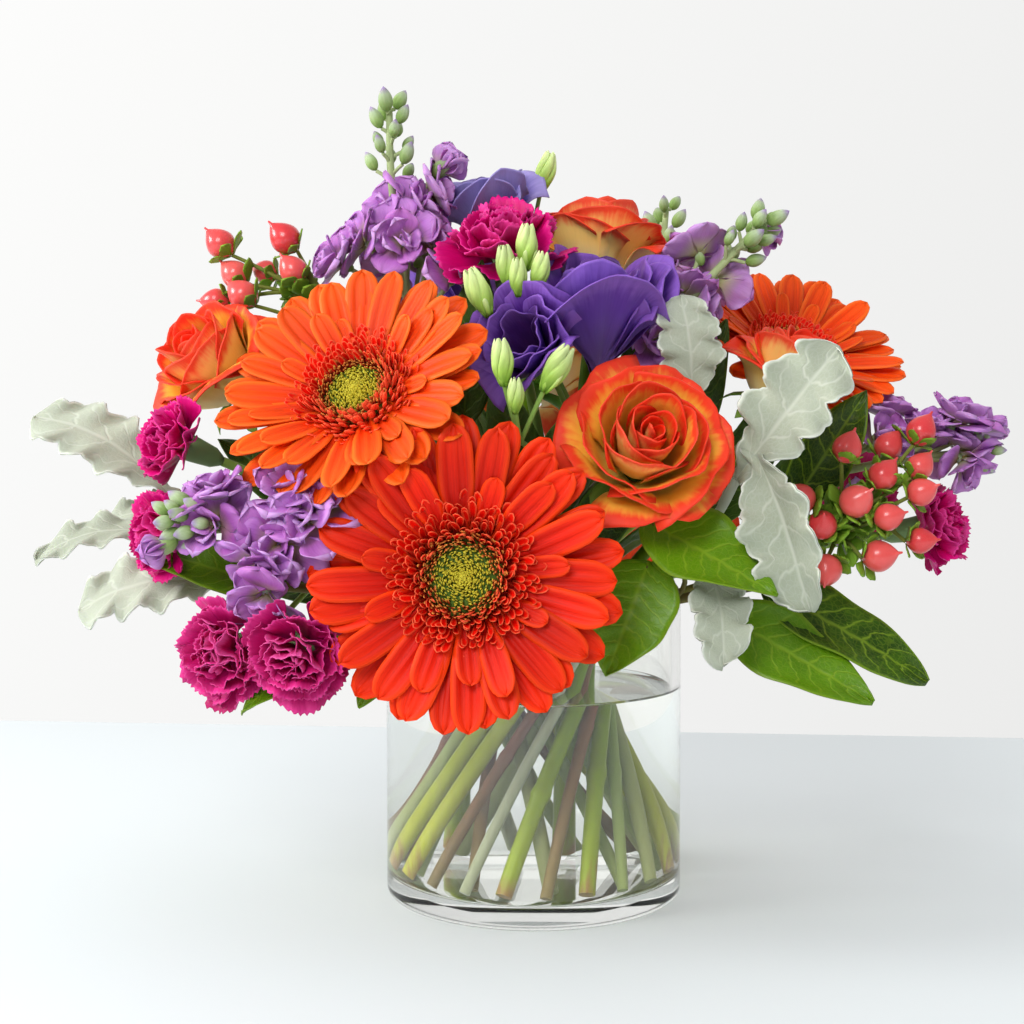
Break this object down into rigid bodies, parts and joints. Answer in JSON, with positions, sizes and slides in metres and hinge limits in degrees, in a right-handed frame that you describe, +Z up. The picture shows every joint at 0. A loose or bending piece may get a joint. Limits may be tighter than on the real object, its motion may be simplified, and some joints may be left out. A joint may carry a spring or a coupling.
{
  "type": "vase of gerberas and mixed flowers",
  "caption": "Clear glass cylinder vase of water holding a hand-tied bouquet of orange gerberas, roses, purple stock, lisianthus, carnations, berries and leaves; stands on a flat surface.",
  "frame": {"origin": "centre of the vase's flat underside, on the surface it stands on", "axes": "+Z up along the vase's axis, the arrangement's front faces -Y, +X to the right seen from the front"},
  "size_m": [0.4077, 0.2368, 0.3323],
  "materials": {
    "vase_glass": "clear, fire-polished rim",
    "water": "clear still water",
    "gerbera_petals": "soft satin, finely grooved lengthwise",
    "rose_petals": "velvety, yellow at the heart running to coral red at the edges",
    "lisianthus_petals": "satin, deep violet-blue",
    "lavender_petals": "satin, pale lavender",
    "stock_florets": "matte, ruffled",
    "carnation_petals": "matte, ruffled and toothed",
    "hypericum_berries": "waxy gloss",
    "flower_stems": "smooth green stem, finely ribbed",
    "lemon_leaf": "leathery, semi-gloss, veined",
    "dusty_miller_leaf": "felted silver-grey"
  },
  "bodies": {
    "root": {"vase": "vase_glass", "water": "water", "gerbera_front_stem": "flower_stems", "gerbera_left_stem": "flower_stems", "gerbera_right_stem": "flower_stems", "gerbera_back_right_stem": "flower_stems", "gerbera_back_left_stem": "flower_stems", "rose_front_stem": "flower_stems", "rose_left_stem": "flower_stems", "rose_right_stem": "flower_stems", "rose_top_stem": "flower_stems", "rose_back_stem": "flower_stems", "carnation_left_stem": "flower_stems", "carnation_top_stem": "flower_stems", "carnation_right_stem": "flower_stems", "carnation_back_stem": "flower_stems", "lisianthus_front_stem": "flower_stems", "lisianthus_back_stem": "flower_stems", "gerbera_front_head": "gerbera_petals", "gerbera_left_head": "gerbera_petals", "gerbera_right_head": "gerbera_petals", "gerbera_back_right_head": "gerbera_petals", "gerbera_back_left_head": "gerbera_petals", "rose_front_head": "rose_petals", "rose_left_head": "rose_petals", "rose_right_head": "rose_petals", "rose_top_head": "rose_petals", "rose_back_head": "rose_petals", "carnation_left_head_1": "carnation_petals", "carnation_left_head_2": "carnation_petals", "carnation_left_head_3": "carnation_petals", "carnation_left_head_4": "carnation_petals", "carnation_top_head_1": "carnation_petals", "carnation_right_head_1": "carnation_petals", "carnation_right_head_2": "carnation_petals", "carnation_back_head_1": "carnation_petals", "lisianthus_front_head_1": "lisianthus_petals", "lisianthus_front_head_2": "lisianthus_petals", "lisianthus_back_head_1": "lavender_petals", "lisianthus_back_head_2": "lisianthus_petals", "stock_top_left": "stock_florets", "stock_top_right": "stock_florets", "stock_left": "stock_florets", "stock_right": "stock_florets", "stock_back": "stock_florets", "hypericum_left": "hypericum_berries", "hypericum_right": "hypericum_berries", "hypericum_back": "hypericum_berries", "dusty_miller_left": "dusty_miller_leaf", "dusty_miller_right": "dusty_miller_leaf", "foliage_right": "lemon_leaf", "foliage_left": "lemon_leaf", "foliage_back": "lemon_leaf"}
  },
  "joints": []
}
